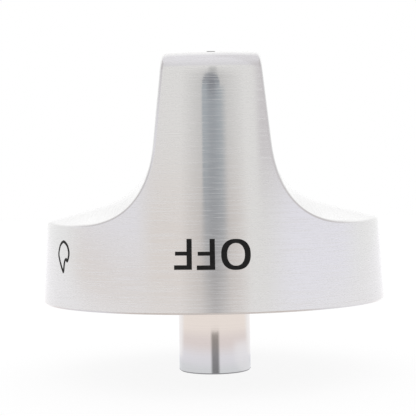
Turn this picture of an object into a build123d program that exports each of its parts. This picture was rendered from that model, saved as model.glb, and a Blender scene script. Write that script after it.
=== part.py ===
from build123d import *

import os
from math import cos, hypot, radians, sin, tan

# Range burner knob: a cast metal body with a bar grip, a polished stem and a shaft spring.
# Millimetres, +Z along the turning axis, origin at the centre of the stem's lower end.
# The bar of the grip runs along Y, and its -Y end points at the OFF mark on the skirt.

# Turned outline of the body
SKIRT_RADIUS = 33.0  # at the skirt's lower edge
SIDE_DRAFT = 3.1  # degrees that the skirt and the ends of the grip lean inwards
BODY_HEIGHT = 44.6  # skirt's lower edge to the top of the grip
NOSE_RADIUS = 3.5  # rounding between the turned side and the top of the grip
SKIRT_CHAMFER = 0.3  # broken lower edge of the skirt

# Scooped sides, which leave the shoulders and the bar of the grip
RIM_HEIGHT = 15.6  # skirt's lower edge to the rim of the shoulders at mid-length, before rounding
SHOULDER_SLOPE = 14.8  # degrees that the shoulders rise towards the grip
GRIP_WIDTH = 16.7  # across the flanks at the top of the grip, before rounding
FLANK_DRAFT = 6.1  # degrees that each flank leans outwards going down
BLEND_REACH = 11.8  # of the hollow blend, up the flank and out along the shoulder
SWING_RADIUS = 92.0  # of the arc on which a shoulder falls away to both ends of the grip
EDGE_RADIUS = 0.8  # rounding all the way round each scooped side

# Indicator groove on top of the grip, running out at its -Y end
INDICATOR_WIDTH = 1.4
INDICATOR_DEPTH = 0.35
INDICATOR_LENGTH = 14.0  # in from the turned side at the top of the grip

# Underside of the casting
WALL = 2.6
BOSS_WALL = 3.5  # round the socket of the stem
BOSS_RECESS = 1.0  # end of the boss above the skirt's lower edge
RIB_COUNT = 4
RIB_THICKNESS = 2.0
RIB_RECESS = 5.0  # edges of the ribs above the skirt's lower edge

# Stem
STEM_DIAMETER = 14.0
STEM_REACH = 14.0  # skirt's lower edge to the stem's lower end
STEM_CHAMFER = 0.25  # broken edge of the lower end
SPIGOT_DIAMETER = 12.0  # upper end, pressed into the boss until its shoulder seats
SPIGOT_LENGTH = 12.0
PRESS_GAP = 0.01  # all round the pressed spigot
SOCKET_RELIEF = 0.5  # beyond the end of the spigot

# Bore for the valve's shaft, which has its flat on the +Y side
SHAFT_DIAMETER = 6.0
SHAFT_ACROSS_FLAT = 4.6
SHAFT_GAP = 0.05
BORE_DEPTH = 20.0
MOUTH_DIAMETER = 7.0  # plain round mouth of the bore
MOUTH_DEPTH = 6.0
MOUTH_CHAMFER = 0.5

# Leaf spring in a pocket of the bore's flat
SPRING_THICKNESS = 0.4
SPRING_WIDTH = 3.2
SPRING_BOW = 0.6
SPRING_PROUD = 0.25  # crest of the bow past the bore's flat
SPRING_FOOT = 1.6  # straight length at each end of the bow
SPRING_GAP = 0.1  # beyond the spring's ends and sides
POCKET_LIP = 1.0  # between the mouth of the bore and the pocket

# Heights, radii and places that follow from the sizes above
SKIRT_Z = STEM_REACH
TOP_Z = SKIRT_Z + BODY_HEIGHT
RIM_Z = SKIRT_Z + RIM_HEIGHT
BOSS_Z = SKIRT_Z + BOSS_RECESS
RIB_Z = SKIRT_Z + RIB_RECESS
RIM_RADIUS = SKIRT_RADIUS - RIM_HEIGHT * tan(radians(SIDE_DRAFT))
FLANK_RUN = tan(radians(FLANK_DRAFT))
SHOULDER_RISE = tan(radians(SHOULDER_SLOPE))
AXIS_HEIGHT = RIM_HEIGHT + RIM_RADIUS * SHOULDER_RISE  # of the shoulders' line, carried on to the axis
ROOT_X = (GRIP_WIDTH / 2 + (BODY_HEIGHT - AXIS_HEIGHT) * FLANK_RUN) / (1 - FLANK_RUN * SHOULDER_RISE)
ROOT_Z = RIM_Z + (RIM_RADIUS - ROOT_X) * SHOULDER_RISE
ROOT_ANGLE = radians(90 + FLANK_DRAFT + SHOULDER_SLOPE)  # between a flank and its shoulder
STEM_RADIUS = STEM_DIAMETER / 2
SPIGOT_RADIUS = SPIGOT_DIAMETER / 2
BOSS_RADIUS = SPIGOT_RADIUS + BOSS_WALL
BORE_RADIUS = SHAFT_DIAMETER / 2 + SHAFT_GAP
BORE_FLAT_Y = SHAFT_ACROSS_FLAT - SHAFT_DIAMETER / 2 + SHAFT_GAP
POCKET_Y = BORE_FLAT_Y - SPRING_PROUD + SPRING_THICKNESS + SPRING_BOW
POCKET_Z = MOUTH_DEPTH + POCKET_LIP
OVERCUT = 1.0  # how far a cutting form runs past the face that it opens


def side_radius(z, inset):
    """Radius of the turned side at height z, moved inwards by inset."""
    draft = radians(SIDE_DRAFT)
    return SKIRT_RADIUS - (z - SKIRT_Z) * tan(draft) - inset / cos(draft)


def turned_outline(inset, floor_z):
    """The turned outline above floor_z, with its side and top moved inwards by inset.

    Only the outer one is rounded at its nose.
    """
    top_z = TOP_Z - inset
    with BuildPart() as outline:
        with BuildSketch(Plane.YZ) as half:
            with BuildLine():
                Polyline(
                    (0, floor_z),
                    (side_radius(floor_z, inset), floor_z),
                    (side_radius(top_z, inset), top_z),
                    (0, top_z),
                    close=True,
                )
            make_face()
            if inset == 0:
                nose = half.vertices().group_by(Axis.Y)[-1].sort_by(Axis.X)[-1]
                fillet(nose, NOSE_RADIUS)
        revolve(axis=Axis.Z)
    return outline.part


def side_scoops(inset):
    """What is scooped from both sides, with its walls moved inwards by inset.

    The section is a flank, a hollow blend and a shoulder. It swings about an axis square to the
    flank, so the flank stays flat and the shoulder falls away to both ends of the grip. Inside
    the casting the blend is a flat, as far inwards at its middle as the walls are.
    """
    draft = radians(FLANK_DRAFT)
    out = (cos(draft), 0, sin(draft))
    up = (-sin(draft), 0, cos(draft))
    swing_centre = (ROOT_X - SWING_RADIUS * up[0], 0, ROOT_Z - SWING_RADIUS * up[2])
    half = ROOT_ANGLE / 2
    fall = ROOT_ANGLE - radians(90)
    root = (-inset, SWING_RADIUS - inset / tan(half))
    reach = BLEND_REACH
    if inset > 0:
        reach = BLEND_REACH / 2 + inset * (1 / sin(half) - 1) / cos(half)
    on_flank = (-inset, root[1] + reach)
    on_shoulder = (reach * cos(fall) - inset, root[1] - reach * sin(fall))
    rim_x = SKIRT_RADIUS + OVERCUT
    rim = (rim_x, root[1] - (rim_x + inset) * tan(fall))
    over = hypot(SWING_RADIUS + BODY_HEIGHT, rim_x)
    with BuildPart() as scoops:
        with BuildSketch(Plane(swing_centre, x_dir=out, z_dir=up)):
            with BuildLine():
                Line((-inset, over), on_flank)
                if inset > 0:
                    Line(on_flank, on_shoulder)
                else:
                    Bezier(on_flank, root, on_shoulder)
                Polyline(on_shoulder, rim, (rim_x, over), (-inset, over))
            make_face()
        revolve(axis=Axis(swing_centre, out), revolution_arc=180)
        mirror(about=Plane.YZ)
    return scoops.part


def scoop_rims(body):
    """The edges round the two scooped sides: those that only one face of a side owns."""
    scooped = [face for face in body.faces() if abs(face.center().X) > EDGE_RADIUS]
    edges = [edge for face in scooped for edge in face.edges()]
    return [edge for edge in edges if edges.count(edge) == 1]


# The hollow under the skirt and in the grip, less the boss and the ribs left standing in it
with BuildPart() as hollow:
    add(turned_outline(WALL, SKIRT_Z - OVERCUT))
    add(side_scoops(WALL), mode=Mode.SUBTRACT)
    with BuildSketch(Plane.XY.offset(BOSS_Z)):
        Circle(BOSS_RADIUS)
    extrude(amount=BODY_HEIGHT, mode=Mode.SUBTRACT)
    with BuildSketch(Plane.XY.offset(RIB_Z)):
        with PolarLocations(SKIRT_RADIUS / 2, RIB_COUNT, start_angle=180 / RIB_COUNT):
            Rectangle(SKIRT_RADIUS, RIB_THICKNESS)
    extrude(amount=BODY_HEIGHT, mode=Mode.SUBTRACT)

with BuildPart() as knob_body:
    add(turned_outline(0, SKIRT_Z))
    add(side_scoops(0), mode=Mode.SUBTRACT)
    fillet(scoop_rims(knob_body), EDGE_RADIUS)
    chamfer(knob_body.edges().group_by(Axis.Z)[0], SKIRT_CHAMFER)
    add(hollow.part, mode=Mode.SUBTRACT)
    # Socket of the stem, up from the end of the boss
    with Locations(Plane((0, 0, BOSS_Z), z_dir=(0, 0, -1))):
        Hole(SPIGOT_RADIUS + PRESS_GAP, depth=SPIGOT_LENGTH + SOCKET_RELIEF)
    # Indicator groove
    groove_end_y = -side_radius(TOP_Z, 0)
    with BuildSketch(Plane.XY.offset(TOP_Z - INDICATOR_DEPTH)):
        with Locations((0, groove_end_y)):
            SlotOverall(2 * INDICATOR_LENGTH, INDICATOR_WIDTH, rotation=90)
    extrude(amount=INDICATOR_DEPTH + OVERCUT, mode=Mode.SUBTRACT)

with BuildPart() as stem:
    with BuildSketch():
        Circle(STEM_RADIUS)
    extrude(amount=BOSS_Z)
    chamfer(stem.edges().group_by(Axis.Z)[0], STEM_CHAMFER)
    with BuildSketch(Plane.XY.offset(BOSS_Z)):
        Circle(SPIGOT_RADIUS)
    extrude(amount=SPIGOT_LENGTH)
    # Bore for the shaft: round with a flat on the +Y side
    with BuildSketch():
        Circle(BORE_RADIUS)
        with Locations((0, BORE_FLAT_Y)):
            Rectangle(
                2 * BORE_RADIUS,
                2 * BORE_RADIUS,
                align=(Align.CENTER, Align.MIN),
                mode=Mode.SUBTRACT,
            )
    extrude(amount=BORE_DEPTH, mode=Mode.SUBTRACT)
    # Pocket of the spring, sunk into the flat
    with BuildSketch(Plane.XY.offset(POCKET_Z)):
        Rectangle(SPRING_WIDTH + 2 * SPRING_GAP, POCKET_Y, align=(Align.CENTER, Align.MIN))
    extrude(amount=BORE_DEPTH - POCKET_Z, mode=Mode.SUBTRACT)
    # Round mouth, opened out by a chamfer
    with Locations(Plane((0, 0, 0), z_dir=(0, 0, -1))):
        Hole(MOUTH_DIAMETER / 2, depth=MOUTH_DEPTH)
    chamfer(stem.edges().group_by(Axis.Z)[0].sort_by(SortBy.RADIUS)[0], MOUTH_CHAMFER)

# The spring rests its two feet on the pocket's floor and bows out past the flat
spring_start_z = POCKET_Z + SPRING_GAP
spring_end_z = BORE_DEPTH - SPRING_GAP
bow_start_z = spring_start_z + SPRING_FOOT
bow_end_z = spring_end_z - SPRING_FOOT
crest_z = (bow_start_z + bow_end_z) / 2
inner_y = POCKET_Y - SPRING_THICKNESS
with BuildPart() as shaft_spring:
    with BuildSketch(Plane.YZ):
        with BuildLine():
            Line((POCKET_Y, spring_start_z), (POCKET_Y, bow_start_z))
            ThreePointArc(
                (POCKET_Y, bow_start_z),
                (POCKET_Y - SPRING_BOW, crest_z),
                (POCKET_Y, bow_end_z),
            )
            Polyline(
                (POCKET_Y, bow_end_z),
                (POCKET_Y, spring_end_z),
                (inner_y, spring_end_z),
                (inner_y, bow_end_z),
            )
            ThreePointArc(
                (inner_y, bow_end_z),
                (inner_y - SPRING_BOW, crest_z),
                (inner_y, bow_start_z),
            )
            Polyline(
                (inner_y, bow_start_z),
                (inner_y, spring_start_z),
                (POCKET_Y, spring_start_z),
            )
        make_face()
    extrude(amount=SPRING_WIDTH / 2, both=True)

knob_body.part.label = "knob_body"
stem.part.label = "stem"
shaft_spring.part.label = "shaft_spring"

os.makedirs("parts", exist_ok=True)
export_step(knob_body.part, "parts/knob_body.step")
export_step(stem.part, "parts/stem.step")
export_step(shaft_spring.part, "parts/shaft_spring.step")
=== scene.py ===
from math import asin, cos, pi, radians, sin, sqrt, tan

import bmesh
import bpy
import numpy as np
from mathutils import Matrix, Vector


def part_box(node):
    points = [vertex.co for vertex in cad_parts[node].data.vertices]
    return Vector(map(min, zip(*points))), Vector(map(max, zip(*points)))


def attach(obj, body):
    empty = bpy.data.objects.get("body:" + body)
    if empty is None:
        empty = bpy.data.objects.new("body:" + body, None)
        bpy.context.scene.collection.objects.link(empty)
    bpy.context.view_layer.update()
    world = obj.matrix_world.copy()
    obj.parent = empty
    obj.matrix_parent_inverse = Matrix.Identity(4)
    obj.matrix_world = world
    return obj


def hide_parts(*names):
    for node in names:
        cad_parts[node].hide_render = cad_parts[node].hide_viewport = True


# Range burner knob on its stem: brushed body, polished stem, printed marks and indicator.
# Sizes are in millimetres here and become metres where a mesh is made.

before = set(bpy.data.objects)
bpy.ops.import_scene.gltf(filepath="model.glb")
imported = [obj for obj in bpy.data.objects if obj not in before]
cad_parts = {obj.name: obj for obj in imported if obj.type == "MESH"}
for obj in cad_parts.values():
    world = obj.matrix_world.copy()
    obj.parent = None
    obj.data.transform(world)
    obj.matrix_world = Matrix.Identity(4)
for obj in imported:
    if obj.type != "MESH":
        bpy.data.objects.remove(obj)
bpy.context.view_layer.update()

MM = 0.001
body_low, body_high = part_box("knob_body")
SKIRT_Z = round(body_low[2] / MM, 4)
TOP_Z = round(body_high[2] / MM, 4)

# Turned outline
SKIRT_RADIUS = 33.0
DRAFT = radians(3.1)
NOSE_RADIUS = 3.5
SKIRT_CHAMFER = 0.3

# Scooped sides
RIM_HEIGHT = 15.6
SHOULDER_SLOPE = radians(14.8)
GRIP_WIDTH = 16.7
FLANK_DRAFT = radians(6.1)
BLEND_REACH = 11.8
SWING_RADIUS = 92.0
EDGE_RADIUS = 0.8

# Indicator groove and its enamel
GROOVE_WIDTH = 1.4
GROOVE_DEPTH = 0.35
GROOVE_LENGTH = 14.0
ENAMEL_SINK = 0.06
ENAMEL_GAP = 0.005

# Underside
WALL = 2.6
BOSS_RADIUS = 9.5
BOSS_RECESS = 1.0  # above the skirt's hem
SOCKET_RADIUS = 6.01
SOCKET_DEPTH = 12.5
RIB_COUNT = 4
RIB_RECESS = 5.0  # above the skirt's hem
RIB_THICKNESS = 2.0
ROOTING = 1.0  # how far the boss and the ribs run into the walls

# Printed marks, placed by the way round from the front and by height
PRINT_PROUD = 0.02
PRINT_SUNK = 0.05
MARK_RADIUS = 32.5  # of the skirt at the marks
FIRST_F = {"right": -3.74, "top": 26.65, "width": 3.02, "height": 5.14}
SECOND_F = {"right": 0.14, "top": 26.59, "width": 3.06, "height": 5.14}
ROUND_O = {"left": 1.17, "top": 26.53, "width": 4.98, "height": 5.16}
F_UPRIGHT = 0.88
F_FULL_ARM = 0.76
F_SHORT_ARM = 0.66
F_SHORT_RISE = 2.37  # of the shorter arm over the letter's foot
F_SHORTER_BY = 0.17
O_SIDE = 1.0
O_END = 0.70
O_OUTER_POWER = 2.35
O_INNER_POWER = 2.2
FLAME_CENTRE = (-32.0, 23.38)
FLAME_STROKE = 0.50
FLAME_OUTLINE = [
    (-0.10, 2.72), (0.90, 2.36), (1.62, 1.72), (2.02, 0.80), (1.93, -0.08),
    (1.52, -0.74), (1.10, -0.40), (0.62, -0.74), (0.42, -1.48),
    (0.24, -2.66), (-0.12, -2.40), (-0.80, -1.62), (-1.64, -0.42), (-2.02, 0.55),
    (-1.60, 1.80), (-0.98, 2.38),
]

# Brushing, turning lines and paint
SIDE_SHIFT = 150.0  # keeps the brush lines of the two scooped sides apart
LONG_LINES = (0.05, 4.0)  # noise steps per millimetre along and across the brushing
SHORT_LINES = (0.16, 7.0)
SHORT_SHIFT = 40.0
BRUSH_LOW = (0.688, 0.686, 0.684, 1)
BRUSH_HIGH = (0.698, 0.696, 0.695, 1)
STEM_METAL = (0.76, 0.75, 0.74)
SPRING_METAL = (0.45, 0.46, 0.48)
TURNING_LINES = 6000.0  # per metre
PRINT_BLACK = (0.009, 0.009, 0.009)
PAINT_MOTTLE = 2500.0  # per metre
STEM_SHARP = radians(25)

# Places that follow from the sizes
RIM_RADIUS = SKIRT_RADIUS - RIM_HEIGHT * tan(DRAFT)
AXIS_RISE = RIM_HEIGHT + RIM_RADIUS * tan(SHOULDER_SLOPE)
ROOT_X = (GRIP_WIDTH / 2 + (TOP_Z - SKIRT_Z - AXIS_RISE) * tan(FLANK_DRAFT)) / (
    1 - tan(FLANK_DRAFT) * tan(SHOULDER_SLOPE)
)
ROOT_Z = SKIRT_Z + RIM_HEIGHT + (RIM_RADIUS - ROOT_X) * tan(SHOULDER_SLOPE)
HALF_ROOT = (pi / 2 + FLANK_DRAFT + SHOULDER_SLOPE) / 2
FALL = FLANK_DRAFT + SHOULDER_SLOPE
OUT = np.array([cos(FLANK_DRAFT), 0.0, sin(FLANK_DRAFT)])
UP = np.array([-sin(FLANK_DRAFT), 0.0, cos(FLANK_DRAFT)])
ALONG = np.array([0.0, 1.0, 0.0])
HUB = np.array([ROOT_X, 0.0, ROOT_Z]) - SWING_RADIUS * UP
NOSE_Z = TOP_Z - NOSE_RADIUS
NOSE_AXIS = SKIRT_RADIUS - (NOSE_Z - SKIRT_Z) * tan(DRAFT) - NOSE_RADIUS / cos(DRAFT)
GROOVE_Z = TOP_Z - GROOVE_DEPTH
GROOVE_STRAIGHT_Y = SKIRT_RADIUS - (TOP_Z - SKIRT_Z) * tan(DRAFT) - GROOVE_LENGTH + GROOVE_WIDTH / 2
GROOVE_ANGLE = asin((GROOVE_Z - NOSE_Z) / NOSE_RADIUS)
BOSS_Z = SKIRT_Z + BOSS_RECESS
SOCKET_END_Z = BOSS_Z + SOCKET_DEPTH
RIB_Z = SKIRT_Z + RIB_RECESS

# Cells across the body's patches
GROOVE_STEPS = 6
END_STEPS = 26
EDGE_STEPS = 6
SKIRT_STEPS = 16

# Points along the body's edges, and on its smaller pieces
TOP_NEAR_POINTS = 11
TOP_FAR_POINTS = 10
NOSE_HIGH_POINTS = 7
NOSE_LOW_POINTS = 13
INNER_TOP_POINTS = 20
SIDE_POINTS = 22
BLEND_POINTS = 27
SHOULDER_POINTS = 37
BOSS_POINTS = 97
RIB_POINTS = 25
STROKE_POINTS = 9
OVAL_POINTS = 121
FLAME_STEPS = 8
ENAMEL_ACROSS_POINTS = 13
ENAMEL_NOSE_POINTS = 9
ENAMEL_TOP_POINTS = 12

# Searches, and the joining of points
WIDEST_SWING = 0.6
SWING_HALVINGS = 60
HEIGHT_HALVINGS = 40
POINT_GRID = 1e4  # places per millimetre
JOIN_GAP = 1e-6  # in metres

# Camera
CAMERA_LENS = 91.33
CAMERA_SENSOR = 36.0
CAMERA_NEAREST = 0.01  # in metres
CAMERA_PLACE = (-0.90, -207.9, 31.74)
CAMERA_ROLL = radians(0.93)

# Studio tent
WHITE = (1, 1, 1, 1)
TENT_FRONT = (1.01, 1.0, 0.985, 1)
TENT_LEFT = (1.035, 1.025, 1.08, 1)
TENT_RIGHT = (1.07, 1.06, 1.14, 1)
TENT_LOW = (0.97, 0.905, 0.865, 1)
CEILING_EDGE = (0.94, 0.925, 0.955, 1)
CEILING = (1.06, 1.045, 1.085, 1)
RIGHT_SHADE = (0.81, 0.78, 0.795, 1)
FLAG_GREY = (0.74, 0.71, 0.72, 1)
BACK_LOW = (1.07, 1.07, 1.07, 1)
BACK_HIGH = (1.32, 1.32, 1.32, 1)

# Film that only the metal's reflections meet: painted reflection of the dark streak down the grip's front
FILM_Y = -41.0
FILM_HALF_WIDTH = 12
FILM_FOOT = 11.5
FILM_HEAD = 66
MARGIN_MIDDLE = 0.3
MARGIN_REACH = 9.6
CORE_END = 54.7
CORE_END_RISE = 2.2
CORE_END_SPREAD = 2.6
TONGUE_FOOT = 57.4
FILM_MARGIN = (0.66, 0.66, 0.665, 1)
FILM_CORE = (0.503, 0.55, 0.594, 1)
FILM_HEART = (0.30, 0.315, 0.352, 1)
FILM_TONGUE = (0.4, 0.41, 0.42, 1)

# Floor, in metres
FLOOR_REACH = 3.0
FLOOR_Z = -0.00002
FLOOR_BASE = (0.12, 0.12, 0.12, 1)
FLOOR_SEEN = (0.885, 0.885, 0.885, 1)
# Seen only in the metal: a painted contact shadow at the stem's foot, painted shade of the knob near the
# stem, and painted light further out, to the right, behind and far off
FLOOR_FOOT_SHADOW = (0.3, 0.3, 0.32, 1)
FLOOR_NEAR_SHADE = (0.77, 0.79, 0.825, 1)
FLOOR_COOL_SHADE = (0.84, 0.835, 0.895, 1)
FLOOR_WARM = (0.79, 0.705, 0.69, 1)
FLOOR_PALE = (0.92, 0.83, 0.775, 1)
FLOOR_RIGHT = (0.96, 0.955, 0.99, 1)
FLOOR_BEHIND = (0.96, 0.95, 0.965, 1)
FLOOR_FAR = (0.97, 0.96, 0.98, 1)
# Painted shadow of the knob under the hem, seen only in the metal
FLOOR_HEM_SHADOW = (0.70, 0.62, 0.58, 1)
# A wedge of painted reflection on the floor, the dark line down the stem
WEDGE_START = 0.0035
WEDGE_LEAN = 0.02
WEDGE_STRENGTH = 0.76
WEDGE_REFLECTION_NEAR = (0.05, 0.05, 0.055, 1)
WEDGE_REFLECTION_FAR = (0.09, 0.07, 0.045, 1)
SMALLEST = 0.001  # keeps divisions away from nought


def unit(vectors):
    """Vectors divided by their lengths."""
    return vectors / np.linalg.norm(vectors, axis=-1, keepdims=True)


def point(x, y, z):
    """Arrays x, y and z, spread to one shape, as points."""
    return np.stack(np.broadcast_arrays(x, y, z), axis=-1).astype(float)


def side_radius(z, inset):
    """Radius of the turned side: skirt radius - rise * tan(draft) - inset / cos(draft)."""
    return SKIRT_RADIUS - (z - SKIRT_Z) * tan(DRAFT) - inset / cos(DRAFT)


def side_normal(x, y):
    """Normal of the turned side: cos(draft) away from the axis and sin(draft) upwards."""
    radius = np.hypot(x, y)
    return point(cos(DRAFT) * x / radius, cos(DRAFT) * y / radius, sin(DRAFT))


def flank_x(z, inset):
    """x of a flank at height z, where (point - hub) . out = -inset."""
    return HUB[0] - (inset + (z - HUB[2]) * OUT[2]) / OUT[0]


def swing(u, rho, psi):
    """Swung vector: u * out + rho * (cos(psi) * up + sin(psi) * along)."""
    u, rho, psi = (a[..., None] for a in np.broadcast_arrays(u, rho, psi))
    return u * OUT + rho * (np.cos(psi) * UP + np.sin(psi) * ALONG)


def blend_section(wall, steps):
    """Section of the blend between flank and shoulder, as u, rho and normals.

    Outside it is the quadratic curve (1-s)^2 a + 2s(1-s) root + s^2 b, with a and b at the
    blend's reach up the flank and out on the shoulder. Inside the walls it is a straight flat.
    """
    s = np.linspace(0, 1, steps)[:, None]
    slope = np.array([cos(FALL), -sin(FALL)])
    root = np.array([-wall, SWING_RADIUS - wall / tan(HALF_ROOT)])
    reach = BLEND_REACH
    if wall > 0:
        reach = BLEND_REACH / 2 + wall * (1 / sin(HALF_ROOT) - 1) / cos(HALF_ROOT)
    start = root + np.array([0, reach])
    end = root + reach * slope
    middle = root if wall == 0 else (start + end) / 2
    curve = (1 - s) ** 2 * start + 2 * s * (1 - s) * middle + s**2 * end
    tangent = unit((1 - s) * (middle - start) + s * (end - middle))
    return curve[:, 0], curve[:, 1], -tangent[:, 1], tangent[:, 0]


def shoulder_section(start, inset, edge, steps):
    """Section of the shoulder, straight from the blend's end to the rim at mid-length.

    Steps shorten with the square of what is left, since the rim runs into its middle squarely.
    The length is where x + (z - skirt z) * tan(draft) of the centre line reaches the inset side.
    """
    normal = np.array([sin(FALL), cos(FALL)])
    first = HUB + swing(start[0] - edge * normal[0], start[1] - edge * normal[1], 0.0)
    step = swing(cos(FALL), -sin(FALL), 0.0)
    goal = SKIRT_RADIUS - inset / cos(DRAFT) + SKIRT_Z * tan(DRAFT)
    length = (goal - first[0] - first[2] * tan(DRAFT)) / (step[0] + step[2] * tan(DRAFT))
    run = length * (1 - np.linspace(1, 0, steps) ** 2)
    flat = np.ones(steps)
    return start[0] + run * cos(FALL), start[1] - run * sin(FALL), normal[0] * flat, normal[1] * flat


def meet_side(u, rho, inset):
    """Swing angle at which section points (u, rho) reach the inset turned side, by halving."""
    low = np.full(len(u), -WIDEST_SWING)
    high = np.zeros(len(u))
    for _ in range(SWING_HALVINGS):
        middle = (low + high) / 2
        at = HUB + swing(u, rho, middle)
        outside = np.hypot(at[:, 0], at[:, 1]) > side_radius(at[:, 2], inset)
        low = np.where(outside, middle, low)
        high = np.where(outside, high, middle)
    return high


def stretch(centre, turned, scooped, **section):
    """One stretch of an edge: the rounding's centre line and both surfaces' normals there."""
    scooped = np.broadcast_to(scooped, centre.shape)
    return {"centre": centre, "turned": turned, "scooped": scooped, **section}


def quarter_edge(wall, edge):
    """A quarter of the edge round a scooped side, from mid-top to mid-rim, in stretches.

    The turned surface and the scooped side, both moved in by wall + edge, meet in the centre
    line of a rounding of radius edge. Its contacts are the centre line plus edge * normal.
    """
    inset = wall + edge
    top_z = TOP_Z - inset
    top_x = flank_x(top_z, inset)
    arc = NOSE_AXIS if edge else side_radius(top_z, inset)
    top_y = sqrt(arc**2 - top_x**2)
    parts = {}
    if edge:
        arc_y = sqrt(NOSE_AXIS**2 - (GROOVE_WIDTH / 2) ** 2)
        part = GROOVE_STRAIGHT_Y / arc_y
        shares = {
            "top_near": np.linspace(0, part, TOP_NEAR_POINTS),
            "top_far": np.linspace(part, 1, TOP_FAR_POINTS),
        }
        nose = {
            "nose_high": np.linspace(pi / 2, GROOVE_ANGLE, NOSE_HIGH_POINTS),
            "nose_low": np.linspace(GROOVE_ANGLE, DRAFT, NOSE_LOW_POINTS),
        }
    else:
        shares = {"top_near": np.linspace(0, 1, INNER_TOP_POINTS)}
        nose = {}
    for name, share in shares.items():
        line = point(top_x, -top_y * share, top_z)
        parts[name] = stretch(line, np.broadcast_to([0.0, 0.0, 1.0], line.shape), OUT, share=share)
    for name, angle in nose.items():
        radius = NOSE_AXIS + (NOSE_RADIUS - edge) * np.cos(angle)
        z = NOSE_Z + (NOSE_RADIUS - edge) * np.sin(angle)
        x = flank_x(z, inset)
        y = -np.sqrt(radius**2 - x**2)
        turned = point(np.cos(angle) * x / radius, np.cos(angle) * y / radius, np.sin(angle))
        parts[name] = stretch(point(x, y, z), turned, OUT)
    blend = blend_section(wall, BLEND_POINTS)
    shoulder = shoulder_section((blend[0][-1], blend[1][-1]), inset, edge, SHOULDER_POINTS)
    side_start = NOSE_Z + (NOSE_RADIUS - edge) * sin(DRAFT) if edge else top_z
    scoop = {}
    for name, (u, rho, n_u, n_rho) in (("blend", blend), ("shoulder", shoulder)):
        psi = meet_side(u - edge * n_u, rho - edge * n_rho, inset)
        if name == "shoulder":
            psi[-1] = 0.0
        line = HUB + swing(u - edge * n_u, rho - edge * n_rho, psi)
        normal = swing(n_u, n_rho, psi)
        section = {"u": u, "rho": rho, "n_u": n_u, "n_rho": n_rho, "psi": psi}
        scoop[name] = stretch(line, side_normal(line[:, 0], line[:, 1]), normal, **section)
    z = np.linspace(side_start, scoop["blend"]["centre"][0, 2], SIDE_POINTS)
    x = flank_x(z, inset)
    y = -np.sqrt(side_radius(z, inset) ** 2 - x**2)
    parts["side"] = stretch(point(x, y, z), side_normal(x, y), OUT)
    return {**parts, **scoop}


def arc_rows(contact, turned):
    """Rows of a turned end: from the middle of the end to each contact, at its height.

    The first columns cross half the indicator groove, at azimuths up to asin(half width / radius).
    """
    radius = np.hypot(contact[:, 0], contact[:, 1])[:, None]
    azimuth = np.arctan2(contact[:, 0], -contact[:, 1])[:, None]
    groove = np.arcsin(GROOVE_WIDTH / 2 / radius)
    inner = groove * np.linspace(0, 1, GROOVE_STEPS + 1)
    outer = groove + (azimuth - groove) * np.linspace(0, 1, END_STEPS + 1)[1:]
    around = np.concatenate([inner, outer], axis=1)
    spread = np.hypot(turned[:, 0], turned[:, 1])[:, None]
    points = point(radius * np.sin(around), -radius * np.cos(around), contact[:, 2:])
    normals = point(spread * np.sin(around), -spread * np.cos(around), turned[:, 2:])
    return points, normals


def flank_rows(contact, arc_rho, bow, shares, wall):
    """Rows of a flat flank from its middle to each contact.

    Along a row, up = contact's + bow * (sqrt(rho^2 - y^2) - sqrt(rho^2 - contact y^2)), so that
    rows with bow 1 follow the arc where the blend starts.
    """
    y = contact[:, 1:2] * shares
    v = ((contact - HUB) @ UP)[:, None]
    v = v + bow[:, None] * (np.sqrt(arc_rho**2 - y**2) - np.sqrt(arc_rho**2 - contact[:, 1:2] ** 2))
    points = HUB - wall * OUT + v[..., None] * UP + y[..., None] * ALONG
    return points, np.broadcast_to(OUT, points.shape)


def scoop_uv(points):
    """Brushing of a scooped side runs along Y, square to the section's height less its reach."""
    offset = points - HUB
    return np.stack([points[..., 1], np.hypot(offset @ UP, points[..., 1]) - offset @ OUT], axis=-1)


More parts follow.
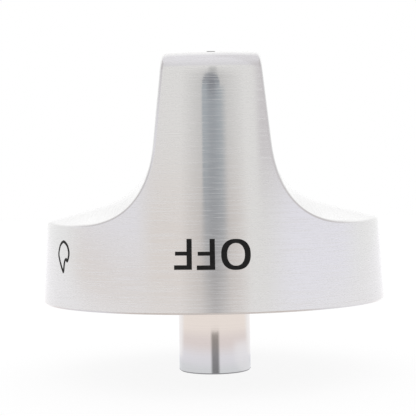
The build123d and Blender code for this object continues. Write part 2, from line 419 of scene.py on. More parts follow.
def quarter_shell(wall, edge, foot_z, foot_around=None):
    """Quarter of the body's outer or inner surface, as patches (name, kind, points, normals, uv).

    Also gives the azimuths of the lower edge's columns. With foot_around the columns start at
    those azimuths instead, and lean over to their own at the top.
    """
    parts = quarter_edge(wall, edge)
    patches = []
    tops = [name for name in ("top_near", "top_far") if name in parts]
    shares = np.unique(np.concatenate([parts[name]["share"] for name in tops]))
    # Turned ends and nose
    for name in ("nose_high", "nose_low", "side", "blend"):
        if name in parts:
            part = parts[name]
            points, normals = arc_rows(part["centre"] + edge * part["turned"], part["turned"])
            patches.append((name, "turned", points, normals, None))
    # Flat top
    first = parts["nose_high"] if edge else parts["side"]
    corner = first["centre"][:1] + edge * first["turned"][:1]
    arc, _ = arc_rows(corner, first["turned"][:1])
    for name in tops:
        share = parts[name]["share"][:, None]
        points = point(arc[..., 0], arc[..., 1] * share, TOP_Z - wall)
        patches.append((name, "top", points, np.broadcast_to([0.0, 0.0, 1.0], points.shape), None))
    # Skirt
    last = parts["blend"]["centre"][-1:] + edge * parts["blend"]["turned"][-1:]
    front, _ = arc_rows(last, parts["blend"]["turned"][-1:])
    rim = parts["shoulder"]["centre"] + edge * parts["shoulder"]["turned"]
    head = np.concatenate([front[0], rim[1:]])
    head_around = np.arctan2(head[:, 0], -head[:, 1])
    foot_around = head_around if foot_around is None else foot_around
    climb = np.linspace(0, 1, SKIRT_STEPS + 1)[:, None]
    z = foot_z + (head[:, 2] - foot_z) * climb
    around = foot_around + (head_around - foot_around) * climb
    radius = side_radius(z, wall)
    points = point(radius * np.sin(around), -radius * np.cos(around), z)
    patches.append(("skirt", "turned", points, side_normal(points[..., 0], points[..., 1]), None))
    # Flank
    arc_rho = parts["blend"]["rho"][0]
    for name in ("nose_high", "nose_low", "side"):
        if name in parts:
            part = parts[name]
            contact = part["centre"] + edge * part["scooped"]
            bow = np.linspace(0, 1, len(contact)) if name == "side" else np.zeros(len(contact))
            points, normals = flank_rows(contact, arc_rho, bow, shares, wall)
            patches.append(("flank_" + name, "scooped", points, normals, None))
    # Blend and shoulder
    start = parts["blend"]["psi"][0]
    spread = np.arcsin(shares * sin(start)) / start
    for name in ("blend", "shoulder"):
        part = parts[name]
        psi = part["psi"][:, None] * spread
        points = HUB + swing(part["u"][:, None], part["rho"][:, None], psi)
        normals = swing(part["n_u"][:, None], part["n_rho"][:, None], psi)
        patches.append(("scoop_" + name, "scooped", points, normals, None))
    # Rounded edge, turning evenly from one contact's normal to the other's
    if edge:
        turn = np.linspace(0, 1, EDGE_STEPS + 1)[None, :, None]
        for name, part in parts.items():
            a = part["turned"][:, None, :]
            b = part["scooped"][:, None, :]
            angle = np.arccos(np.clip(np.sum(a * b, axis=-1, keepdims=True), -1, 1))
            normals = (np.sin((1 - turn) * angle) * a + np.sin(turn * angle) * b) / np.sin(angle)
            points = part["centre"][:, None, :] + edge * normals
            steps = np.linalg.norm(np.diff(part["centre"], axis=0), axis=-1)
            run = np.concatenate([[0.0], np.cumsum(steps)])[:, None]
            uv = np.stack(np.broadcast_arrays(run, edge * angle[..., 0] * turn[..., 0]), axis=-1)
            patches.append(("edge_" + name, "edge", points, normals, uv))
    return patches, foot_around


def groove_patches(quarter):
    """Right half of the indicator groove, cut into the quarter shell's front end.

    The floor is flat, the walls stand square to it, and the inner end is a half circle.
    The quarter's own columns across the groove end at it, and start again at the half circle.
    """
    by_name = {patch[0]: patch for patch in quarter}
    kept = [patch for patch in quarter if patch[0] not in ("nose_high", "top_near", "top_far")]
    outer = slice(GROOVE_STEPS, None)
    inner = slice(None, GROOVE_STEPS + 1)
    for name in ("nose_high", "top_far", "top_near"):
        _, kind, points, normals, _ = by_name[name]
        kept.append((name, kind, points[:, outer], normals[:, outer], None))
    # Top beyond the groove
    _, kind, points, _, _ = by_name["top_near"]
    half = GROOVE_WIDTH / 2
    x = points[0, inner, 0]
    x[-1] = half
    bulge = np.sqrt(np.maximum(half**2 - x**2, 0))
    end_y = bulge - GROOVE_STRAIGHT_Y
    share = points[:, GROOVE_STEPS, 1] / points[-1, GROOVE_STEPS, 1]
    beyond = point(x, end_y * share[:, None], TOP_Z)
    kept.append(("top_beyond", kind, beyond, np.broadcast_to([0.0, 0.0, 1.0], beyond.shape), None))
    # Walls
    top_lip = by_name["top_far"][2][:, GROOVE_STEPS]
    nose_lip = by_name["nose_high"][2][1:, GROOVE_STEPS]
    lip = np.concatenate([top_lip, nose_lip])
    lip[:, 0] = half
    foot = lip * [1, 1, 0] + [0, 0, GROOVE_Z]
    wall = np.stack([lip, foot])
    kept.append(("groove_wall", "top", wall, np.broadcast_to([-1.0, 0.0, 0.0], wall.shape), None))
    end = np.stack([point(x, end_y, TOP_Z), point(x, end_y, GROOVE_Z)])
    facing = np.broadcast_to(point(-x / half, -bulge / half, 0.0), end.shape)
    kept.append(("groove_end", "top", end, facing, None))
    # Floor
    out = by_name["nose_high"][2][-1, inner]
    inn = point(x, end_y, GROOVE_Z)
    share = ((lip[:, 1] - lip[0, 1]) / (lip[-1, 1] - lip[0, 1]))[:, None, None]
    floor = inn + (out - inn) * share
    floor[..., 2] = GROOVE_Z
    kept.append(("groove_floor", "top", floor, np.broadcast_to([0.0, 0.0, 1.0], floor.shape), None))
    return kept


def brush_uv(kind, points):
    """Brushing directions: round the axis on turned faces, along Y on the top and the scoops."""
    x, y, z = points[..., 0], points[..., 1], points[..., 2]
    if kind == "turned":
        return np.stack([MARK_RADIUS * np.arctan2(x, -y), z], axis=-1)
    if kind == "scooped":
        sign = np.where(np.mean(x) < 0, -1.0, 1.0)
        return scoop_uv(points * [sign, 1, 1]) + [0.0, SIDE_SHIFT * sign]
    return np.stack([y, x], axis=-1)


def mirrored(patches, y_side, inward=False):
    """A quarter's patches at +X and -X, on the side of y_side, as (points, normals, uv)."""
    placed = []
    for x_side in (1.0, -1.0):
        for _, kind, points, normals, uv in patches:
            flip = np.array([x_side, y_side, 1.0])
            moved = points * flip
            facing = normals * flip * (-1.0 if inward else 1.0)
            brush = brush_uv(kind, moved) if uv is None else uv * x_side * y_side
            placed.append((moved, facing, brush))
    return placed


def ring(foot_around, lower, upper, y_side):
    """Half ring between two circles (radius, z) at the given azimuths, with its flat normal."""
    (r0, z0), (r1, z1) = lower, upper
    fall = unit(np.array([z1 - z0, r0 - r1]))
    around = np.concatenate([-foot_around[::-1], foot_around[1:]])
    radius = np.array([[r0], [r1]])
    points = point(radius * np.sin(around), -y_side * radius * np.cos(around), np.array([[z0], [z1]]))
    normals = point(fall[0] * np.sin(around), -y_side * fall[0] * np.cos(around), fall[1])
    return points, np.broadcast_to(normals, points.shape), brush_uv("turned", points)


def slab(top, bottom, closed=False):
    """Closed shell between two grids of one layout: both grids and the strips round them."""
    rise = unit(top - bottom)
    sides = [(top, rise), (bottom, -rise)]
    for a, b in ((0, 1), (-1, -2)):
        facing = unit(top[:, a] - top[:, b])
        sides.append((np.stack([top[:, a], bottom[:, a]]), np.stack([facing, facing])))
        if not closed:
            facing = unit(top[a] - top[b])
            sides.append((np.stack([top[a], bottom[a]]), np.stack([facing, facing])))
    return [(points, normals, points[..., :2]) for points, normals in sides]


def scooped_height(x, y, wall):
    """Height at which (x, y) enters a scoop moved in by wall, or the top's wall, by halving.

    A point is in the scoop where it is past the flank, above the shoulder and past the flat.
    """
    low = np.full(np.shape(x), SKIRT_Z)
    high = np.full(np.shape(x), TOP_Z - wall)
    start_u, start_rho, n_u, n_rho = (a[0] for a in blend_section(wall, 2))
    root_rho = SWING_RADIUS - wall / tan(HALF_ROOT)
    for _ in range(HEIGHT_HALVINGS):
        middle = (low + high) / 2
        offset = point(np.abs(x), y, middle) - HUB
        u = offset @ OUT
        rho = np.hypot(offset @ UP, y)
        above = rho - root_rho + (u + wall) * tan(FALL)
        past = (u - start_u) * n_u + (rho - start_rho) * n_rho
        scooped = (u + wall > 0) & (above > 0) & (past > 0)
        low = np.where(scooped, low, middle)
        high = np.where(scooped, middle, high)
    return low


def boss_patches():
    """The stem's boss with its socket, up to just inside the walls over it."""
    around = np.linspace(0, 2 * pi, BOSS_POINTS)
    rim = np.stack([np.cos(around), np.sin(around)])
    head = scooped_height(BOSS_RADIUS * rim[0], BOSS_RADIUS * rim[1], WALL - ROOTING)
    flat = np.zeros_like(around)
    down = point(flat, flat, -1.0)
    side = point(rim[0], rim[1], flat)
    wide = point(BOSS_RADIUS * rim[0], BOSS_RADIUS * rim[1], BOSS_Z)
    narrow = point(SOCKET_RADIUS * rim[0], SOCKET_RADIUS * rim[1], BOSS_Z)
    deep = narrow + [0, 0, SOCKET_END_Z - BOSS_Z]
    over = wide * [1, 1, 0] + point(flat, flat, head)
    crown = point(flat, flat, TOP_Z - WALL + ROOTING)
    pairs = [
        (wide, over, side, side),
        (narrow, wide, down, down),
        (narrow, deep, -side, -side),
        (deep, point(flat, flat, SOCKET_END_Z), down, down),
        (over, crown, -down, -down),
    ]
    return [
        (np.stack([a, b]), np.stack([na, nb]), np.stack([a, b])[..., :2])
        for a, b, na, nb in pairs
    ]


def rib_patches():
    """Four ribs from the boss to the side wall, their tops just inside the wall over them."""
    reach = np.linspace(BOSS_RADIUS - ROOTING, side_radius(RIB_Z, WALL) + ROOTING, RIB_POINTS)[:, None]
    across = np.array([-RIB_THICKNESS / 2, RIB_THICKNESS / 2])
    ribs = []
    for turn in np.arange(RIB_COUNT) * 2 * pi / RIB_COUNT + pi / 4:
        x = reach * cos(turn) - across * sin(turn)
        y = reach * sin(turn) + across * cos(turn)
        head = scooped_height(x, y, WALL - ROOTING)
        ribs += slab(point(x, y, head), point(x, y, RIB_Z))
    return ribs


def on_skirt(s, h, proud):
    """Wraps a flat mark on the skirt: s is the way round from the front, h the height."""
    radius = side_radius(h, 0) + proud / cos(DRAFT)
    return point(radius * np.sin(s / MARK_RADIUS), -radius * np.cos(s / MARK_RADIUS), h)


def printed(s, h, closed=False):
    """A printed stroke: the grid (s, h) on the skirt, as a slab that is barely proud of it."""
    return slab(on_skirt(s, h, PRINT_PROUD), on_skirt(s, h, -PRINT_SUNK), closed)


def bar(s0, s1, h0, h1):
    """A straight printed stroke over s0 to s1 and h0 to h1."""
    s, h = np.meshgrid(np.linspace(s0, s1, STROKE_POINTS), np.linspace(h0, h1, STROKE_POINTS))
    return printed(s, h)


def letter_f(right, top, width, height):
    """An upside-down F: upright at right, full arm at the foot and shorter arm above it."""
    foot = top - height
    arm = foot + F_SHORT_RISE
    strokes = bar(right - F_UPRIGHT, right, foot, top)
    strokes += bar(right - width, right - F_UPRIGHT, foot, foot + F_FULL_ARM)
    strokes += bar(right - width + F_SHORTER_BY, right - F_UPRIGHT, arm, arm + F_SHORT_ARM)
    return strokes


def letter_o(left, top, width, height):
    """An O between two rounded ovals |x/a|^n + |y/b|^n = 1, with one power n outside and one inside."""
    t = np.linspace(0, 2 * pi, OVAL_POINTS)[:, None]
    exponent = np.array([2 / O_OUTER_POWER, 2 / O_INNER_POWER])
    across = np.array([width / 2, width / 2 - O_SIDE])
    tall = np.array([height / 2, height / 2 - O_END])
    s = left + width / 2 + across * np.sign(np.cos(t)) * np.abs(np.cos(t)) ** exponent
    h = top - height / 2 + tall * np.sign(np.sin(t)) * np.abs(np.sin(t)) ** exponent
    return printed(s, h, closed=True)


def smooth_loop(corners, steps):
    """A closed curve through corners: on each span, the cubic whose ends take (next - last) / 2."""
    p = np.asarray(corners, float)
    before, after, beyond = np.roll(p, 1, 0), np.roll(p, -1, 0), np.roll(p, -2, 0)
    t = np.linspace(0, 1, steps, endpoint=False)[:, None, None]
    m0 = (after - before) / 2
    m1 = (beyond - p) / 2
    curve = (
        (2 * t**3 - 3 * t**2 + 1) * p
        + (t**3 - 2 * t**2 + t) * m0
        + (3 * t**2 - 2 * t**3) * after
        + (t**3 - t**2) * m1
    )
    curve = curve.transpose(1, 0, 2).reshape(-1, 2)
    return np.concatenate([curve, curve[:1]])


def flame(centre_s, centre_h, stroke):
    """The outlined flame sign, tip down: a ribbon of even width along a smooth closed curve."""
    curve = smooth_loop(FLAME_OUTLINE, FLAME_STEPS)
    along = np.roll(curve[:-1], -1, 0) - np.roll(curve[:-1], 1, 0)
    along = unit(np.concatenate([along, along[:1]]))
    across = np.stack([-along[:, 1], along[:, 0]], axis=-1) * stroke / 2
    s = centre_s + np.stack([curve[:, 0] - across[:, 0], curve[:, 0] + across[:, 0]], axis=1)
    h = centre_h + np.stack([curve[:, 1] - across[:, 1], curve[:, 1] + across[:, 1]], axis=1)
    return printed(s, h, closed=True)


def enamel_patches():
    """Black fill of the indicator groove: top and nose moved in by its sink, down to the floor."""
    half = GROOVE_WIDTH / 2 - ENAMEL_GAP
    x = half * np.sin(np.linspace(-pi / 2, pi / 2, ENAMEL_ACROSS_POINTS))
    radius = NOSE_RADIUS - ENAMEL_SINK
    low = GROOVE_Z + ENAMEL_GAP
    angle = np.linspace(asin((low - NOSE_Z) / radius), pi / 2, ENAMEL_NOSE_POINTS)[:, None]
    away = NOSE_AXIS + radius * np.cos(angle)
    nose = point(x, -np.sqrt(away**2 - x**2), NOSE_Z + radius * np.sin(angle))
    end_y = np.sqrt(half**2 - x**2) - GROOVE_STRAIGHT_Y
    share = np.linspace(0, 1, ENAMEL_TOP_POINTS)[1:, None]
    flat = point(x, nose[-1, :, 1] + (end_y - nose[-1, :, 1]) * share, TOP_Z - ENAMEL_SINK)
    top = np.concatenate([nose, flat])
    bottom = top * [1, 1, 0] + [0, 0, low - ENAMEL_GAP / 2]
    return slab(top, bottom)


def make_mesh(name, patches):
    """One mesh from grids of points with normals and uv: two triangles to a grid cell.

    Points closer than 0.1 micrometre become one, triangles that collapse are left out, and
    each triangle is wound to face the way its normals do.
    """
    points, normals, uvs, triangles, count = [], [], [], [], 0
    for grid, normal, uv in patches:
        rows, columns = grid.shape[:2]
        index = count + np.arange(rows * columns).reshape(rows, columns)
        a, b, c, d = index[:-1, :-1], index[1:, :-1], index[1:, 1:], index[:-1, 1:]
        triangles += [np.stack([a, b, c], -1).reshape(-1, 3), np.stack([a, c, d], -1).reshape(-1, 3)]
        points.append(grid.reshape(-1, 3))
        normals.append(normal.reshape(-1, 3))
        uvs.append(uv.reshape(-1, 2))
        count += rows * columns
    points, normals, uvs = np.concatenate(points), np.concatenate(normals), np.concatenate(uvs)
    triangles = np.concatenate(triangles)
    p = points[triangles]
    facing = np.cross(p[:, 1] - p[:, 0], p[:, 2] - p[:, 0])
    turned = np.sum(facing * normals[triangles].sum(axis=1), axis=-1) < 0
    triangles[turned] = triangles[turned][:, ::-1]
    places = np.round(points * POINT_GRID).astype(np.int64)
    _, first, merged = np.unique(places, axis=0, return_index=True, return_inverse=True)
    merged = merged.ravel()
    faces = merged[triangles]
    whole = (faces[:, 0] != faces[:, 1]) & (faces[:, 1] != faces[:, 2]) & (faces[:, 2] != faces[:, 0])
    faces, triangles = faces[whole], triangles[whole]
    mesh = bpy.data.meshes.new(name)
    mesh.from_pydata((points[first] * MM).tolist(), [], faces.tolist())
    layer = mesh.uv_layers.new(name="brush")
    layer.data.foreach_set("uv", uvs[triangles].astype(np.float32).ravel())
    mesh.polygons.foreach_set("use_smooth", np.ones(len(faces), dtype=bool))
    mesh.normals_split_custom_set(unit(normals[triangles].reshape(-1, 3)).tolist())
    return mesh


def add_piece(name, mesh, material):
    """A finished piece of the object: its mesh in place, its material and its body."""
    mesh.materials.clear()
    mesh.materials.append(material)
    piece = bpy.data.objects.new(name, mesh)
    bpy.context.scene.collection.objects.link(piece)
    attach(piece, "root")
    return piece


def merged_copy(node, sharp):
    """A copy of a meshed solid with its loose triangles joined, smooth below the sharp angle."""
    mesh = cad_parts[node].data.copy()
    joined = bmesh.new()
    joined.from_mesh(mesh)
    bmesh.ops.remove_doubles(joined, verts=joined.verts, dist=JOIN_GAP)
    joined.to_mesh(mesh)
    joined.free()
    for stale in ("custom_normal", "sharp_face", "sharp_edge"):
        if stale in mesh.attributes:
            mesh.attributes.remove(mesh.attributes[stale])
    mesh.polygons.foreach_set("use_smooth", np.ones(len(mesh.polygons), dtype=bool))
    mesh.set_sharp_from_angle(angle=sharp)
    return mesh


def new_material(name):
    """An empty material with a Principled shader, as (material, tree, shader)."""
    material = bpy.data.materials.new(name)
    material.use_nodes = True
    tree = material.node_tree
    return material, tree, tree.nodes["Principled BSDF"]


def add_node(tree, kind, inputs=None, **settings):
    """A node with its settings, and inputs that are either sockets or values."""
    made = tree.nodes.new(kind)
    for key, value in settings.items():
        setattr(made, key, value)
    for key, value in (inputs or {}).items():
        if isinstance(value, bpy.types.NodeSocket):
            tree.links.new(value, made.inputs[key])
        else:
            made.inputs[key].default_value = value
    return made


def ramp(tree, value, low, high, start=0.0, end=1.0):
    """start + (end - start) * smoothstep of value between low and high."""
    inputs = {"Value": value, 1: low, 2: high, 3: start, 4: end}
    return add_node(tree, "ShaderNodeMapRange", inputs, interpolation_type="SMOOTHSTEP").outputs["Result"]


def maths(tree, operation, a, b=0.0):
    """The result of one operation on a and b."""
    return add_node(tree, "ShaderNodeMath", {0: a, 1: b}, operation=operation).outputs["Value"]


def product(tree, *factors):
    """All the factors multiplied, from the first to the last."""
    result = factors[0]
    for factor in factors[1:]:
        result = maths(tree, "MULTIPLY", result, factor)
    return result


def mix_colour(tree, factor, a, b):
    """Colour a at factor 0 and b at 1."""
    inputs = {("Factor", "VALUE"): factor, ("A", "RGBA"): a, ("B", "RGBA"): b}
    made = add_node(tree, "ShaderNodeMix", data_type="RGBA")
    for key, value in inputs.items():
        socket = next(s for s in made.inputs if (s.name, s.type) == key)
        if isinstance(value, bpy.types.NodeSocket):
            tree.links.new(value, socket)
        else:
            socket.default_value = value
    return next(s for s in made.outputs if s.type == "RGBA")


def stretched_noise(tree, vector, scale, shift):
    """Noise of a vector scaled unevenly, so that it draws lines along the least scaled way."""
    placing = {"Vector": vector, "Location": (shift, shift, 0), "Scale": (*scale, 1.0)}
    stretched = add_node(tree, "ShaderNodeMapping", placing)
    inputs = {"Vector": stretched.outputs["Vector"], "Scale": 1.0, "Detail": 2.0, "Roughness": 0.5}
    return add_node(tree, "ShaderNodeTexNoise", inputs, noise_dimensions="2D").outputs["Fac"]


def brushed_metal():
    """Cast metal with a fine brushed finish, its lines along the mesh's brush U direction.

    The grain is the mean of two stretched noises, long along U and fine across it. Where it is
    high, a line is a little paler and duller and scatters part of the light evenly. It also tilts
    the surface, but hardly.
    """
    material, tree, shader = new_material("brushed_metal")
    shader.inputs["Anisotropic"].default_value = 0.5
    shader.inputs["Anisotropic Rotation"].default_value = 0.25
    uv = add_node(tree, "ShaderNodeUVMap", uv_map="brush").outputs["UV"]
    long_lines = stretched_noise(tree, uv, LONG_LINES, 0.0)
    short_lines = stretched_noise(tree, uv, SHORT_LINES, SHORT_SHIFT)
    grain = maths(tree, "MULTIPLY", maths(tree, "ADD", long_lines, short_lines), 0.5)
    tone = mix_colour(tree, ramp(tree, grain, 0.45, 0.65), BRUSH_LOW, BRUSH_HIGH)
    tree.links.new(tone, shader.inputs["Base Color"])
    tree.links.new(ramp(tree, grain, 0.45, 0.65, 1.0, 0.71), shader.inputs["Metallic"])
    tree.links.new(ramp(tree, grain, 0.45, 0.68, 0.10, 0.20), shader.inputs["Roughness"])
    bump = add_node(tree, "ShaderNodeBump", {"Height": grain, "Strength": 0.02, "Distance": 0.00003})
    tree.links.new(bump.outputs["Normal"], shader.inputs["Normal"])
    tangent = add_node(tree, "ShaderNodeTangent", direction_type="UV_MAP", uv_map="brush")
    tree.links.new(tangent.outputs["Tangent"], shader.inputs["Tangent"])
    return material


def turned_metal(name, colour, roughness):
    """Metal with faint turning lines round the Z axis: noise of the height alone dulls some."""
    material, tree, shader = new_material(name)
    shader.inputs["Metallic"].default_value = 1.0
    place = add_node(tree, "ShaderNodeTexCoord").outputs["Object"]
    height = add_node(tree, "ShaderNodeSeparateXYZ", {"Vector": place}).outputs["Z"]
    inputs = {"W": height, "Scale": TURNING_LINES, "Detail": 2.0}
    lines = add_node(tree, "ShaderNodeTexNoise", inputs, noise_dimensions="1D").outputs["Fac"]
    duller = (*(0.97 * part for part in colour), 1)
    tone = mix_colour(tree, ramp(tree, lines, 0.3, 0.7), duller, (*colour, 1))
    tree.links.new(tone, shader.inputs["Base Color"])
    tree.links.new(ramp(tree, lines, 0.3, 0.7, 1.4 * roughness, roughness), shader.inputs["Roughness"])
    return material


def black_paint(name, colour, roughness):
    """Dark paint, a little uneven: fine noise shifts its tone and its gloss."""
    material, tree, shader = new_material(name)
    place = add_node(tree, "ShaderNodeTexCoord").outputs["Object"]
    inputs = {"Vector": place, "Scale": PAINT_MOTTLE, "Detail": 2.0}
    mottle = add_node(tree, "ShaderNodeTexNoise", inputs).outputs["Fac"]
    paler = (*(1.5 * part for part in colour), 1)
    tone = mix_colour(tree, ramp(tree, mottle, 0.35, 0.7), (*colour, 1), paler)
    tree.links.new(tone, shader.inputs["Base Color"])
    tree.links.new(ramp(tree, mottle, 0.3, 0.7, roughness, 1.2 * roughness), shader.inputs["Roughness"])
    shader.inputs["Specular IOR Level"].default_value = 0.12
    return material


# Body
hem = (SKIRT_RADIUS - SKIRT_CHAMFER, SKIRT_Z)
hem_top = (SKIRT_RADIUS - SKIRT_CHAMFER * sin(DRAFT), SKIRT_Z + SKIRT_CHAMFER * cos(DRAFT))
hem_inner = (side_radius(SKIRT_Z, WALL), SKIRT_Z)
outer, foot_around = quarter_shell(0.0, EDGE_RADIUS, hem_top[1])
inner, _ = quarter_shell(WALL, 0.0, SKIRT_Z, foot_around)
body = mirrored(groove_patches(outer), 1.0) + mirrored(outer, -1.0)
body += mirrored(inner, 1.0, inward=True) + mirrored(inner, -1.0, inward=True)
for y_side in (1.0, -1.0):
    body.append(ring(foot_around, hem, hem_top, y_side))
    body.append(ring(foot_around, hem_inner, hem, y_side))
body += boss_patches() + rib_patches()
knob = add_piece("knob_body_skin", make_mesh("knob_body_skin", body), brushed_metal())
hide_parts("knob_body")

# Stem and spring
stem_metal = turned_metal("polished_stem", STEM_METAL, 0.06)
stem = add_piece("stem_skin", merged_copy("stem", STEM_SHARP), stem_metal)
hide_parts("stem")
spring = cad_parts["shaft_spring"]
spring.data.materials.clear()
spring.data.materials.append(turned_metal("spring_steel", SPRING_METAL, 0.3))

# Marks
print_black = black_paint("black_print", PRINT_BLACK, 0.5)
letters = letter_f(**FIRST_F) + letter_f(**SECOND_F) + letter_o(**ROUND_O)
add_piece("off_letters", make_mesh("off_letters", letters), print_black)
sign = flame(*FLAME_CENTRE, FLAME_STROKE)
add_piece("flame_sign", make_mesh("flame_sign", sign), print_black)
add_piece("indicator_enamel", make_mesh("indicator_enamel", enamel_patches()), print_black)


def studio_world():
    """White tent by direction (x, y, z), which only the camera sees as plain white.

    It is brightest behind the knob, cooler at the sides and warm low in front. Its ceiling is
    duller at its front edge than overhead. By bearing, x / sqrt(1 - z^2), it is shaded to the
    right past about 0.5, and on both sides past about 0.65, where grey flags hang.
    """
    world = bpy.data.worlds.new("studio")
    bpy.context.scene.world = world
    world.use_nodes = True
    tree = world.node_tree
    background = tree.nodes["Background"]
    way = add_node(tree, "ShaderNodeTexCoord").outputs["Generated"]
    split = add_node(tree, "ShaderNodeSeparateXYZ", {"Vector": way})
    x, y, z = (split.outputs[k] for k in "XYZ")
    # Front, sides and low front
    aside = maths(tree, "ABSOLUTE", x)
    sides = mix_colour(tree, ramp(tree, x, -0.6, 0.6), TENT_LEFT, TENT_RIGHT)
    tent = mix_colour(tree, ramp(tree, aside, 0.5, 0.85), TENT_FRONT, sides)
    off_left = maths(tree, "ABSOLUTE", maths(tree, "ADD", x, 0.18))
    low = product(tree, ramp(tree, z, 0.19, 0.08), ramp(tree, off_left, 0.64, 0.42))
    left_foot = product(tree, ramp(tree, z, 0.08, 0.01), ramp(tree, x, 0.0, -0.4))
    tent = mix_colour(tree, maths(tree, "MAXIMUM", low, left_foot), tent, TENT_LOW)
    # Ceiling
    ceiling = mix_colour(tree, ramp(tree, z, 0.5, 0.95), CEILING_EDGE, CEILING)
    tent = mix_colour(tree, ramp(tree, z, 0.42, 0.55), tent, ceiling)
    # Shade on the right, and flags
    level_squared = maths(tree, "SUBTRACT", 1.0, maths(tree, "MULTIPLY", z, z))
    level = maths(tree, "SQRT", maths(tree, "MAXIMUM", level_squared, 0.0001))
    bearing = maths(tree, "DIVIDE", x, level)
    on_right = ramp(tree, bearing, 0.475, 0.565)
    shade = product(tree, on_right, ramp(tree, z, 0.10, 0.155), ramp(tree, z, 0.55, 0.8, 1.0, 0.35))
    tent = mix_colour(tree, shade, tent, RIGHT_SHADE)
    flag_foot = ramp(tree, x, -0.1, 0.1, 0.16, 0.28)
    above_foot = ramp(tree, z, flag_foot, maths(tree, "ADD", flag_foot, 0.14))
    on_side = ramp(tree, maths(tree, "ABSOLUTE", bearing), 0.55, 0.75)
    flag = product(tree, above_foot, ramp(tree, z, 0.85, 0.6), on_side)
    tent = mix_colour(tree, flag, tent, FLAG_GREY)
    # Back
    back = mix_colour(tree, ramp(tree, z, 0.15, 0.5), BACK_LOW, BACK_HIGH)
    tent = mix_colour(tree, ramp(tree, y, 0.0, 0.55), tent, back)
    seen = add_node(tree, "ShaderNodeLightPath").outputs["Is Camera Ray"]
    tree.links.new(mix_colour(tree, seen, tent, WHITE), background.inputs["Color"])


def streak_reflection_film():
    """A film hung close in front of the knob, which only the metal's reflections meet; its tint is the
    painted reflection of the dark streak down the grip's front end.

    Its tint by (x, z): a margin that clears up 9.6 mm out from the middle, and in it a darker core
    with a crisp left edge, a soft right one, and an upper end where |x/2.6|^3 + (rise/2.2)^2 = 1.
    The core's heart is darker still, and over its end a faint narrow tongue goes on.
    """
    mesh = bpy.data.meshes.new("streak_reflection_film")
    away = FILM_Y * MM
    left, right = -FILM_HALF_WIDTH * MM, FILM_HALF_WIDTH * MM
    foot, head = FILM_FOOT * MM, FILM_HEAD * MM
    corners = [(left, away, foot), (right, away, foot), (right, away, head), (left, away, head)]
    mesh.from_pydata(corners, [], [(0, 1, 2, 3)])
    material, tree, shader = new_material("streak_reflection_film")
    place = add_node(tree, "ShaderNodeTexCoord").outputs["Object"]
    split = add_node(tree, "ShaderNodeSeparateXYZ", {"Vector": place})
    x = maths(tree, "MULTIPLY", split.outputs["X"], 1 / MM)
    z = maths(tree, "MULTIPLY", split.outputs["Z"], 1 / MM)
    # Margin
    aside = maths(tree, "ABSOLUTE", maths(tree, "SUBTRACT", x, MARGIN_MIDDLE))
    left_over = maths(tree, "MAXIMUM", maths(tree, "SUBTRACT", MARGIN_REACH, aside), 0.0)
    margin = maths(tree, "DIVIDE", left_over, MARGIN_REACH)
    margin = product(tree, margin, ramp(tree, z, 58.4, 56.2), ramp(tree, z, 14.0, 27.0, 0.8, 1.0))
    tint = mix_colour(tree, margin, WHITE, FILM_MARGIN)
    # Core
    left_out = ramp(tree, z, 40.0, 28.0, -3.05, -3.9)
    left_in = ramp(tree, z, 40.0, 28.0, -2.45, -1.5)
    band = product(tree, ramp(tree, x, left_out, left_in), ramp(tree, x, 4.7, 2.0))
    over_end = maths(tree, "MAXIMUM", maths(tree, "SUBTRACT", z, CORE_END), 0.0)
    rise = maths(tree, "DIVIDE", over_end, CORE_END_RISE)
    spread = maths(tree, "DIVIDE", maths(tree, "ABSOLUTE", maths(tree, "ADD", x, 0.1)), CORE_END_SPREAD)
    past = maths(tree, "ADD", maths(tree, "POWER", rise, 2.0), maths(tree, "POWER", spread, 3.0))
    tip = maths(tree, "MAXIMUM", ramp(tree, past, 1.12, 0.8), ramp(tree, z, CORE_END, 54.2))
    band = product(tree, band, tip)
    fade = product(tree, band, ramp(tree, z, 13.0, 34.0, 0.2, 1.0))
    tint = mix_colour(tree, fade, tint, FILM_CORE)
    # Heart of the core
    heart = product(tree, ramp(tree, x, -2.0, -0.3), ramp(tree, x, 2.6, 0.4))
    heart = maths(tree, "MAXIMUM", heart, ramp(tree, z, 54.2, 56.0, 0.0, 0.85))
    depth = maths(tree, "ADD", ramp(tree, z, 13.0, 45.0, 0.14, 0.33), ramp(tree, z, 51.0, 55.5, 0.0, 0.64))
    tint = mix_colour(tree, product(tree, heart, band, depth), tint, FILM_HEART)
    # Tongue
    beside = maths(tree, "ABSOLUTE", maths(tree, "SUBTRACT", x, 0.5))
    narrow = ramp(tree, beside, 1.7, 0.5)
    fading = ramp(tree, z, 61.5, TONGUE_FOOT, 0.0, 0.45)
    tongue = product(tree, narrow, fading, ramp(tree, z, 56.0, TONGUE_FOOT))
    tint = mix_colour(tree, tongue, tint, FILM_TONGUE)
    clear = add_node(tree, "ShaderNodeBsdfTransparent", {"Color": tint})
    tree.nodes.remove(shader)
    tree.links.new(clear.outputs["BSDF"], tree.nodes["Material Output"].inputs["Surface"])
    mesh.materials.append(material)
    film = bpy.data.objects.new("streak_reflection_film", mesh)
    film.visible_camera = False
    film.visible_diffuse = False
    bpy.context.scene.collection.objects.link(film)


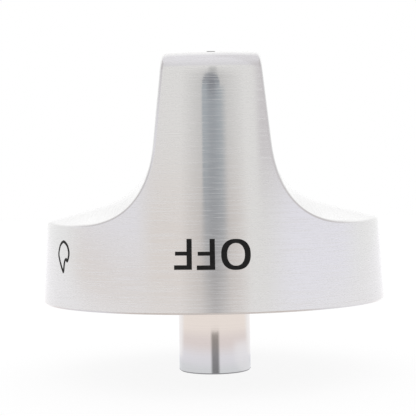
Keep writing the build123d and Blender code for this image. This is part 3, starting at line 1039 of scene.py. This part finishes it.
def white_floor():
    """A white floor that mostly glows, and takes a faint shadow.

    In the metal it shows by its distance from the axis: dark at the stem's foot, a painted contact shadow;
    cool near it, painted shade of the knob; then warmer painted light further out and pale far off. It is
    paler to the right and behind, duller under the hem with a painted shadow of the knob, and has a dark
    wedge in front, a painted reflection, where |x / (way in front - 3.5 mm) - 0.02| is small.
    """
    mesh = bpy.data.meshes.new("floor")
    near, far = -FLOOR_REACH, FLOOR_REACH
    corners = [(near, near, FLOOR_Z), (far, near, FLOOR_Z), (far, far, FLOOR_Z), (near, far, FLOOR_Z)]
    mesh.from_pydata(corners, [], [(0, 1, 2, 3)])
    material, tree, shader = new_material("floor_white")
    shader.inputs["Base Color"].default_value = FLOOR_BASE
    shader.inputs["Roughness"].default_value = 1.0
    shader.inputs["Specular IOR Level"].default_value = 0.0
    place = add_node(tree, "ShaderNodeTexCoord").outputs["Object"]
    split = add_node(tree, "ShaderNodeSeparateXYZ", {"Vector": place})
    ray = add_node(tree, "ShaderNodeLightPath")
    length = ray.outputs["Ray Length"]
    x = split.outputs["X"]
    ahead = maths(tree, "MULTIPLY", split.outputs["Y"], -1.0)
    away = add_node(tree, "ShaderNodeVectorMath", {0: place}, operation="LENGTH").outputs["Value"]
    away_safe = maths(tree, "MAXIMUM", away, SMALLEST)
    # From the stem outwards: painted shade of the knob near the stem, then warmer and paler painted light
    # further out
    glow = mix_colour(tree, ramp(tree, away, 0.012, 0.024), FLOOR_NEAR_SHADE, FLOOR_COOL_SHADE)
    glow = mix_colour(tree, ramp(tree, away, 0.025, 0.055), glow, FLOOR_WARM)
    glow = mix_colour(tree, ramp(tree, away, 0.058, 0.085), glow, FLOOR_PALE)
    # Painted light: paler to the right, behind and far off
    bearing = maths(tree, "DIVIDE", x, away_safe)
    right = product(tree, ramp(tree, bearing, 0.75, 1.0, 0.0, 0.55), ramp(tree, away, 0.062, 0.044))
    glow = mix_colour(tree, right, glow, FLOOR_RIGHT)
    facing = maths(tree, "DIVIDE", ahead, away_safe)
    behind = product(tree, ramp(tree, facing, -0.25, -0.68, 0.0, 0.8), ramp(tree, away, 0.02, 0.03))
    glow = mix_colour(tree, behind, glow, FLOOR_BEHIND)
    glow = mix_colour(tree, ramp(tree, away, 0.14, 0.3), glow, FLOOR_FAR)
    # Wedge in front, in the stem's reflections alone: a painted reflection, the dark line down the stem
    run = maths(tree, "MAXIMUM", maths(tree, "SUBTRACT", ahead, WEDGE_START), SMALLEST)
    slant = maths(tree, "SUBTRACT", maths(tree, "DIVIDE", x, run), WEDGE_LEAN)
    slant = maths(tree, "ABSOLUTE", slant)
    short_of = maths(tree, "SUBTRACT", away, length)
    from_stem = ramp(tree, short_of, 0.016, 0.011)
    wedge = product(tree, ramp(tree, slant, 0.305, 0.12), ramp(tree, ahead, 0.0765, 0.0740), from_stem)
    dark = mix_colour(tree, ramp(tree, away, 0.03, 0.07), WEDGE_REFLECTION_NEAR, WEDGE_REFLECTION_FAR)
    glow = mix_colour(tree, maths(tree, "MULTIPLY", wedge, WEDGE_STRENGTH), glow, dark)
    # Painted contact shadow at the stem's foot, and painted shadow of the knob under the hem
    glow = mix_colour(tree, ramp(tree, away, 0.0082, 0.0074), glow, FLOOR_FOOT_SHADOW)
    # Painted shadow of the knob under the hem, in short reflections only
    hem_shadow_mask = product(tree, ramp(tree, away, 0.028, 0.031), ramp(tree, away, 0.040, 0.036))
    hem_shadow_mask = product(tree, hem_shadow_mask, ramp(tree, length, 0.019, 0.016))
    glow = mix_colour(tree, hem_shadow_mask, glow, FLOOR_HEM_SHADOW)
    glow = mix_colour(tree, ray.outputs["Is Glossy Ray"], FLOOR_SEEN, glow)
    tree.links.new(glow, shader.inputs["Emission Color"])
    shader.inputs["Emission Strength"].default_value = 1.0
    mesh.materials.append(material)
    floor = bpy.data.objects.new("floor", mesh)
    bpy.context.scene.collection.objects.link(floor)


def photo_camera():
    """Level camera in front of the grip's OFF end, rolled a little."""
    data = bpy.data.cameras.new("camera")
    data.sensor_width = CAMERA_SENSOR
    data.lens = CAMERA_LENS
    data.clip_start = CAMERA_NEAREST
    camera = bpy.data.objects.new("camera", data)
    camera.location = [part * MM for part in CAMERA_PLACE]
    camera.rotation_euler = (pi / 2, CAMERA_ROLL, 0)
    bpy.context.scene.collection.objects.link(camera)
    bpy.context.scene.camera = camera


studio_world()
streak_reflection_film()
white_floor()
photo_camera()
bpy.context.scene.view_settings.view_transform = "Standard"
